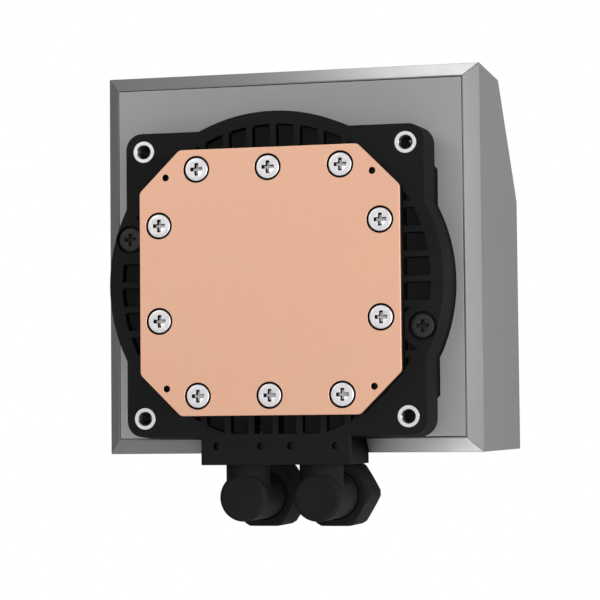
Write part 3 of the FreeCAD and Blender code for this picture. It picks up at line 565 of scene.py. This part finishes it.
def softened_copy(
    node: str, edge: float, degrees: float = 28.0, smooth_degrees: float = 55.0
) -> Object:
    """Copy a solid's mesh and round its sharp edges slightly, as a maker breaks them.

    Args:
        node: The solid's name.
        edge: Width of the rounding in millimetres.
        degrees: Edges sharper than this are rounded.
        smooth_degrees: Edges sharper than this stay sharp in the shading.

    Returns:
        The rounded copy.
    """
    source = frame["nodes"][node]
    piece = bpy.data.objects.new(f"{node}_finished", source.data.copy())
    bpy.context.scene.collection.objects.link(piece)
    choose_only(piece)
    if piece.data.has_custom_normals:
        bpy.ops.mesh.customdata_custom_splitnormals_clear()
    bpy.ops.object.mode_set(mode="EDIT")
    bpy.ops.mesh.select_all(action="SELECT")
    bpy.ops.mesh.remove_doubles(threshold=WELD_GAP)
    bpy.ops.mesh.dissolve_limited(angle_limit=FLAT_TURN)
    leave_edit()
    apply_modifier(piece, "BEVEL", width=edge * MM, segments=2, limit_method="ANGLE",
                   angle_limit=math.radians(degrees), use_clamp_overlap=False)
    smooth(piece, smooth_degrees)
    apply_modifier(piece, "WEIGHTED_NORMAL", mode="FACE_AREA", weight=100, keep_sharp=True)
    return piece


def join(pieces: list[Object], name: str) -> Object:
    """Join several pieces into one mesh.

    Args:
        pieces: The pieces, of which the first takes in the others.
        name: The joined piece's name.

    Returns:
        The joined piece.
    """
    choose_only(pieces[0])
    for piece in pieces[1:]:
        piece.select_set(True)
    bpy.ops.object.join()
    pieces[0].name = name
    return pieces[0]


def copies_at(piece: Object, places: list[tuple[float, float]], name: str) -> Object:
    """Copy a piece that was made on the Y axis to each place, and join the copies.

    Args:
        piece: The piece to repeat, which is used up.
        places: Each copy's place across and up, in millimetres.
        name: The joined piece's name.

    Returns:
        One object that holds every copy.
    """
    copies = []
    for across, up in places:
        copy = bpy.data.objects.new(name, piece.data.copy())
        bpy.context.scene.collection.objects.link(copy)
        copy.location = (across * MM, 0.0, up * MM)
        bake_place(copy)
        copies.append(copy)
    bpy.data.objects.remove(piece)
    return join(copies, name)


def solid_centres(node: str, count: int) -> list[tuple[float, float]]:
    """Find where a node's separate solids stand, across and up, in millimetres.

    Args:
        node: The node, whose solids are all alike.
        count: How many solids it has.

    Returns:
        The middle of each solid's box.
    """
    copy = bpy.data.objects.new(f"{node}_count", frame["nodes"][node].data.copy())
    bpy.context.scene.collection.objects.link(copy)
    choose_only(copy)
    bpy.ops.object.mode_set(mode="EDIT")
    bpy.ops.mesh.select_all(action="SELECT")
    bpy.ops.mesh.remove_doubles(threshold=WELD_GAP)
    bpy.ops.mesh.separate(type="LOOSE")
    leave_edit()
    centres = []
    for part in list(bpy.context.selected_objects):
        across = [vertex.co.x for vertex in part.data.vertices]
        up = [vertex.co.z for vertex in part.data.vertices]
        centres.append(((min(across) + max(across)) / 2 / MM, (min(up) + max(up)) / 2 / MM))
        bpy.data.objects.remove(part)
    if len(centres) != count:
        raise RuntimeError(f"{node} has {len(centres)} solids, not {count}")
    return sorted(centres)


def dress(piece: Object, materials: dict[str, Material], finish: str) -> None:
    """Give a piece one finish and no other."""
    piece.data.materials.clear()
    piece.data.materials.append(materials[finish])


def place_piece(piece: Object, body: str, slot: str, replaced: str, materials: dict[str, Material],
                finish: str = "") -> None:
    """Dress a new piece and let it stand for a node.

    Args:
        piece: The finished piece.
        body: The body that it rides on.
        slot: The material slot of its finish.
        replaced: The node that it replaces.
        materials: Every finish, by name.
        finish: The piece's own finish, where it isn't the slot's.
    """
    dress(piece, materials, finish or slot)
    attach(piece, body)
    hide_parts(replaced)
    LOG.info("%s stands for %s: %d faces", piece.name, replaced, len(piece.data.polygons))


@dataclass
class ScrewMaker:
    """A round screw head with a cross recess, on the Y axis. Sizes in millimetres."""

    head_radius: float = 2.7
    head_height: float = 1.9
    rim_round: float = 0.32
    recess_half: float = 1.85
    recess_width: float = 1.1
    recess_depth: float = 1.2
    recess_taper: float = 0.55
    recess_edge: float = 0.04
    shank_radius: float = 1.5
    shank_length: float = 7.5
    head_sides: int = 56
    shank_sides: int = 24

    def cut_recess(self, head: Object, front: float) -> None:
        """Cut the tapered cross into the head.

        Args:
            head: The head.
            front: The head's front along Y, in millimetres.
        """
        for turn in (0.0, math.pi / 2):
            bpy.ops.mesh.primitive_cube_add(size=1.0, location=(0.0, front * MM, 0.0))
            blade = bpy.context.active_object
            blade.scale = (
                2 * self.recess_half * MM, 2 * self.recess_depth * MM, self.recess_width * MM,
            )
            blade.rotation_euler = (0.0, turn, 0.0)
            bake_place(blade)
            select_faces(blade, lambda face: face.normal.y > END_FACE)
            bpy.ops.transform.resize(value=(self.recess_taper, 1.0, self.recess_taper))
            leave_edit()
            apply_modifier(head, "BOOLEAN", operation="DIFFERENCE", object=blade, solver="EXACT")
            bpy.data.objects.remove(blade)

    def make(self, front: float, name: str) -> Object:
        """Build one screw.

        Args:
            front: The head's front along Y, in millimetres.
            name: The screw's name.

        Returns:
            The screw, on the Y axis.
        """
        head = cylinder_on_y(name, self.head_radius, front, self.head_height, self.head_sides)
        select_faces(head, lambda face: face.normal.y < -END_FACE)
        bpy.ops.mesh.bevel(offset=self.rim_round * MM, segments=4, affect="EDGES")
        leave_edit()
        self.cut_recess(head, front)
        apply_modifier(head, "BEVEL", width=self.recess_edge * MM, segments=2, limit_method="ANGLE",
                       angle_limit=math.radians(40), use_clamp_overlap=False)
        shank = cylinder_on_y(f"{name}_shank", self.shank_radius, front + self.head_height,
                              self.shank_length, self.shank_sides)
        screw = join([head, shank], name)
        smooth(screw)
        return screw


@dataclass
class InsertMaker:
    """A threaded insert with a chamfered mouth and a real thread. Sizes in millimetres."""

    radius: float = 2.5
    bore: float = 1.5
    mouth: float = 1.68
    length: float = 8.0
    pitch: float = 0.5
    thread_depth: float = 0.27
    thread_lead: float = 0.35
    thread_run_out: float = 0.85
    thread_width: float = 0.49
    rim: float = 0.08
    skin: float = 0.02
    sides: int = 48

    def make(self, front: float, name: str) -> Object:
        """Build one insert.

        Args:
            front: The insert's front along Y, in millimetres.
            name: The insert's name.

        Returns:
            The insert, on the Y axis.
        """
        root = self.bore + self.skin
        outline = [
            (root, self.mouth - root + front), (self.mouth, front),
            (self.radius - self.rim, front), (self.radius, front + self.rim),
            (self.radius, front + self.length), (root, front + self.length),
        ]
        sleeve = self.lathe(f"{name}_sleeve", outline, closed=True, rise=0.0, turns=1)
        start = front + self.thread_lead
        ridge = [(root, start), (root - self.thread_depth, start + self.pitch / 2),
                 (root, start + self.thread_width)]
        turns = int((self.length - self.thread_lead - self.thread_run_out) / self.pitch)
        thread = self.lathe(f"{name}_thread", ridge, closed=False, rise=self.pitch, turns=turns)
        insert = join([sleeve, thread], name)
        smooth(insert, 35)
        return insert

    def lathe(
        self, name: str, outline: list[tuple[float, float]], closed: bool, rise: float, turns: int
    ) -> Object:
        """Turn an outline round the Y axis, or wind it into a screw thread.

        Args:
            name: The object's name.
            outline: Radius and place along Y of each corner, in millimetres.
            closed: Whether the outline is a closed loop.
            rise: How far one turn moves along Y, in millimetres.
            turns: How many turns.

        Returns:
            The turned surface.
        """
        count = len(outline)
        edges = [(index, index + 1) for index in range(count - 1)]
        if closed:
            edges.append((count - 1, 0))
        mesh = bpy.data.meshes.new(name)
        mesh.from_pydata([(radius * MM, place * MM, 0.0) for radius, place in outline], edges, [])
        piece = bpy.data.objects.new(name, mesh)
        bpy.context.scene.collection.objects.link(piece)
        apply_modifier(
            piece, "SCREW", axis="Y", angle=2 * math.pi, steps=self.sides, render_steps=self.sides,
            screw_offset=rise * MM, iterations=turns, use_merge_vertices=rise == 0.0,
            merge_threshold=0.001 * MM, use_normal_calculate=True,
        )
        select_faces(piece, lambda face: True)
        bpy.ops.mesh.normals_make_consistent(inside=False)
        leave_edit()
        return piece


@dataclass
class ColdPlate:
    """The copper plate with its ten screws."""

    edge: float = 0.12
    screw_count: int = 10
    screw_front: float = 0.1

    def build(self, materials: dict[str, Material]) -> None:
        """Model the plate's broken edges and its screws.

        Args:
            materials: Every finish, by name.
        """
        plate = softened_copy("cold_plate", self.edge)
        place_piece(plate, "head", "copper", "cold_plate", materials)
        screw = ScrewMaker().make(self.screw_front, "plate_screw")
        places = solid_centres("cold_plate_screws", self.screw_count)
        screws = copies_at(screw, places, "plate_screws")
        place_piece(screws, "head", "bright_steel", "cold_plate_screws", materials)


@dataclass
class PumpBase:
    """The moulded base with its inserts and two dark screws."""

    edge: float = 0.15
    insert_count: int = 4
    screw_count: int = 2
    screw_shank: float = 13.9
    pin_count: int = 4
    pin_radius: float = 0.75
    pin_front: float = 6.5
    pin_length: float = 11.2
    pin_edge: float = 0.15
    pin_sides: int = 32

    def build(self, materials: dict[str, Material]) -> None:
        """Model the base's broken edges, its inserts, its screws and the pins that hold the elbows.

        Args:
            materials: Every finish, by name.
        """
        base = softened_copy("pump_base", self.edge)
        place_piece(base, "head", "black_plastic", "pump_base", materials)
        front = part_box("threaded_inserts")[0].y / MM
        insert = InsertMaker().make(front, "ear_insert")
        places = solid_centres("threaded_inserts", self.insert_count)
        inserts = copies_at(insert, places, "ear_inserts")
        place_piece(inserts, "head", "bright_steel", "threaded_inserts", materials)
        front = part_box("base_screws")[0].y / MM
        screw = ScrewMaker(shank_length=self.screw_shank).make(front, "base_screw")
        places = solid_centres("base_screws", self.screw_count)
        screws = copies_at(screw, places, "base_screws_finished")
        place_piece(screws, "head", "black_steel", "base_screws", materials)
        pin = cylinder_on_y(
            "port_pin", self.pin_radius, self.pin_front, self.pin_length, self.pin_sides
        )
        apply_modifier(pin, "BEVEL", width=self.pin_edge * MM, segments=2, limit_method="ANGLE")
        smooth(pin)
        places = solid_centres("port_pins", self.pin_count)
        pins = copies_at(pin, places, "port_pins_finished")
        place_piece(pins, "head", "black_steel", "port_pins", materials)


@dataclass
class Housing:
    """The bevelled metal shell and its back plate."""

    edge: float = 0.2
    plate_edge: float = 0.17

    def build(self, materials: dict[str, Material]) -> None:
        """Model the broken edges of the shell and of the plate.

        Args:
            materials: Every finish, by name.
        """
        shell = softened_copy("housing_shell", self.edge)
        place_piece(shell, "head", "housing_metal", "housing_shell", materials)
        plate = softened_copy("housing_back_plate", self.plate_edge)
        place_piece(plate, "head", "plate_metal", "housing_back_plate", materials)


@dataclass
class SwivelPort:
    """One elbow with its hose nut, whose finish is a darker copy of the elbow's."""

    side: Side
    elbow_edge: float = 0.12
    nut_edge: float = 0.2

    def build(self, materials: dict[str, Material]) -> None:
        """Model the broken edges of the elbow and of the nut.

        Args:
            materials: Every finish, by name.
        """
        body = f"{self.side.value}_port"
        finished = (("elbow", self.elbow_edge, ""), ("hose_nut", self.nut_edge, "nut_plastic"))
        for part, edge, finish in finished:
            node = f"{self.side.value}_{part}"
            piece = softened_copy(node, edge)
            place_piece(piece, body, "elbow_plastic", node, materials, finish)


@dataclass
class Camera:
    """The camera at the photograph's viewing angle. Place in millimetres, turns in radians."""

    place: tuple[float, float, float] = (126.94, -487.31, -31.91)
    yaw: float = 0.2409
    pitch: float = 0.0546
    roll: float = -0.0095
    focal_pixels: float = 2262.16
    frame_pixels: float = 600.0
    sensor: float = 36.0

    def build(self) -> None:
        """Add the camera and make it the scene's own."""
        ahead = Vector((
            -math.sin(self.yaw) * math.cos(self.pitch),
            math.cos(self.yaw) * math.cos(self.pitch),
            math.sin(self.pitch),
        ))
        level = Vector((math.cos(self.yaw), math.sin(self.yaw), 0.0))
        upright = level.cross(ahead)
        right = level * math.cos(self.roll) + upright * math.sin(self.roll)
        up = upright * math.cos(self.roll) - level * math.sin(self.roll)
        lens = bpy.data.cameras.new("photo_camera")
        lens.sensor_width = self.sensor
        lens.lens = self.focal_pixels * self.sensor / self.frame_pixels
        lens.clip_start = 0.01
        camera = bpy.data.objects.new("photo_camera", lens)
        bpy.context.scene.collection.objects.link(camera)
        turn = Matrix((right, up, -ahead)).transposed().to_4x4()
        camera.matrix_world = Matrix.Translation(Vector(self.place) * MM) @ turn
        bpy.context.scene.camera = camera
        LOG.info("camera lens %.1f mm", lens.lens)


@dataclass(frozen=True)
class Softbox:
    """One area lamp: where it stands, how large it is and how strong, in metres and watts."""

    name: str
    place: tuple[float, float, float]
    size: tuple[float, float]
    power: float
    shadow: bool = True


@dataclass(frozen=True)
class EdgeSpot:
    """One soft spot that lights the end of a bevel. Metres, degrees and watts."""

    name: str
    place: tuple[float, float, float]
    aim: tuple[float, float, float]
    cone: float
    power: float
    radius: float = 0.02


@dataclass
class Studio:
    """A pale floor, a white surround and soft lamps."""

    floor_drop: float = 0.6
    floor_size: float = 12.0
    floor_colour: tuple[float, float, float, float] = (0.9, 0.9, 0.9, 1.0)
    floor_roughness: float = 0.9
    world_light: float = 0.06
    target: tuple[float, float, float] = (0.0, 0.03, 0.0)
    softboxes: tuple[Softbox, ...] = (
        Softbox("key_softbox", (-0.62, -0.85, 0.5), (0.5, 0.5), 2.4),
        Softbox("even_softbox", (0.74, -0.95, -0.04), (0.8, 0.8), 11.6, shadow=False),
        Softbox("right_softbox", (1.07, -0.26, 0.1), (0.3, 0.3), 6.3),
        Softbox("back_softbox", (-0.9, 1.3, 0.5), (0.8, 0.8), 18.0),
    )
    spots: tuple[EdgeSpot, ...] = (
        EdgeSpot("upper_edge_spot", (-0.07, 0.19, 0.62), (0.05, 0.037, 0.045), 30.0, 7.2),
        EdgeSpot("lower_edge_spot", (-0.013, 0.077, -0.367), (0.069, 0.037, -0.045), 14.5, 5.2),
    )

    def build_surround(self) -> None:
        """Light the world plainly, and show it white to the camera and in reflections."""
        world = bpy.data.worlds.new("white_surround")
        bpy.context.scene.world = world
        world.use_nodes = True
        tree = world.node_tree
        light = tree.nodes["Background"]
        light.inputs["Color"].default_value = WHITE
        light.inputs["Strength"].default_value = self.world_light
        shown = add_node(tree, "ShaderNodeBackground", {"Color": WHITE, "Strength": 1.0})
        mix = add_node(tree, "ShaderNodeMixShader", {
            0: seen_directly(tree), 1: light.outputs["Background"], 2: shown.outputs["Background"],
        })
        tree.links.new(mix.outputs["Shader"], tree.nodes["World Output"].inputs["Surface"])

    def build_floor(self) -> None:
        """Add the pale floor below the part, white where the camera or a reflection sees it."""
        bpy.ops.mesh.primitive_plane_add(
            size=self.floor_size, location=(0.0, 0.0, -self.floor_drop)
        )
        floor = bpy.context.active_object
        floor.name = "studio_floor"
        material = bpy.data.materials.new("pale_floor")
        material.use_nodes = True
        tree = material.node_tree
        shader = tree.nodes["Principled BSDF"]
        shader.inputs["Base Color"].default_value = self.floor_colour
        shader.inputs["Roughness"].default_value = self.floor_roughness
        shown = add_node(tree, "ShaderNodeEmission", {"Color": WHITE, "Strength": 1.0})
        mix = add_node(tree, "ShaderNodeMixShader", {
            0: seen_directly(tree), 1: shader.outputs["BSDF"], 2: shown.outputs["Emission"],
        })
        tree.links.new(mix.outputs["Shader"], tree.nodes["Material Output"].inputs["Surface"])
        floor.data.materials.append(material)

    def hang(
        self, lamp: Light, place: tuple[float, float, float], aim: tuple[float, float, float]
    ) -> None:
        """Put a lamp in its place and turn it.

        Args:
            lamp: The lamp.
            place: Where it stands, in metres.
            aim: The point that it faces, in metres.
        """
        holder = bpy.data.objects.new(lamp.name, lamp)
        bpy.context.scene.collection.objects.link(holder)
        holder.location = place
        holder.rotation_euler = (Vector(aim) - Vector(place)).to_track_quat("-Z", "Y").to_euler()

    def build_lamps(self) -> None:
        """Hang the lamps, each turned to the part."""
        for box in self.softboxes:
            lamp = bpy.data.lights.new(box.name, "AREA")
            lamp.shape = "RECTANGLE"
            lamp.size, lamp.size_y = box.size
            lamp.energy = box.power
            lamp.use_shadow = box.shadow
            self.hang(lamp, box.place, self.target)
        for spot in self.spots:
            lamp = bpy.data.lights.new(spot.name, "SPOT")
            lamp.spot_size = math.radians(spot.cone)
            lamp.spot_blend = 1.0
            lamp.shadow_soft_size = spot.radius
            lamp.energy = spot.power
            self.hang(lamp, spot.place, spot.aim)

    def build(self) -> None:
        """Set up the whole studio."""
        self.build_surround()
        self.build_floor()
        self.build_lamps()
        bpy.context.scene.view_settings.view_transform = "Standard"
        LOG.info("studio ready with %d lamps", len(self.softboxes) + len(self.spots))


def seen_directly(tree: NodeTree) -> bpy.types.NodeSocket:
    """Give 1 for camera, glossy and transmitted rays, and 0 for the rest.

    Args:
        tree: The tree that gets the nodes.

    Returns:
        The socket that holds the 1 or the 0.
    """
    rays = add_node(tree, "ShaderNodeLightPath")
    first = add_node(tree, "ShaderNodeMath", {
        0: rays.outputs["Is Camera Ray"], 1: rays.outputs["Is Glossy Ray"],
    }, operation="MAXIMUM")
    both = add_node(tree, "ShaderNodeMath", {
        0: first.outputs["Value"], 1: rays.outputs["Is Transmission Ray"],
    }, operation="MAXIMUM")
    return both.outputs["Value"]


def dress_nodes(materials: dict[str, Material]) -> None:
    """Give every node the finish of its slot.

    Args:
        materials: Every finish, by name.
    """
    slots = {part["node"]: part["material_slot"] for part in frame["record"]["subparts"]}
    for node, piece in frame["nodes"].items():
        dress(piece, materials, slots[node])
        LOG.info("%s is dressed as %s", node, slots[node])


def main() -> None:
    """Build every sub-assembly in order, then the studio and the camera."""
    logging.basicConfig(level=logging.INFO, format="%(name)s: %(message)s")
    groups = SharedGroups.build()
    materials = {name: finish.make(groups) for name, finish in FINISHES.items()}
    dress_nodes(materials)
    ColdPlate().build(materials)
    PumpBase().build(materials)
    Housing().build(materials)
    for side in Side:
        SwivelPort(side).build(materials)
    Studio().build()
    Camera().build()


if __name__ == "__main__":
    main()
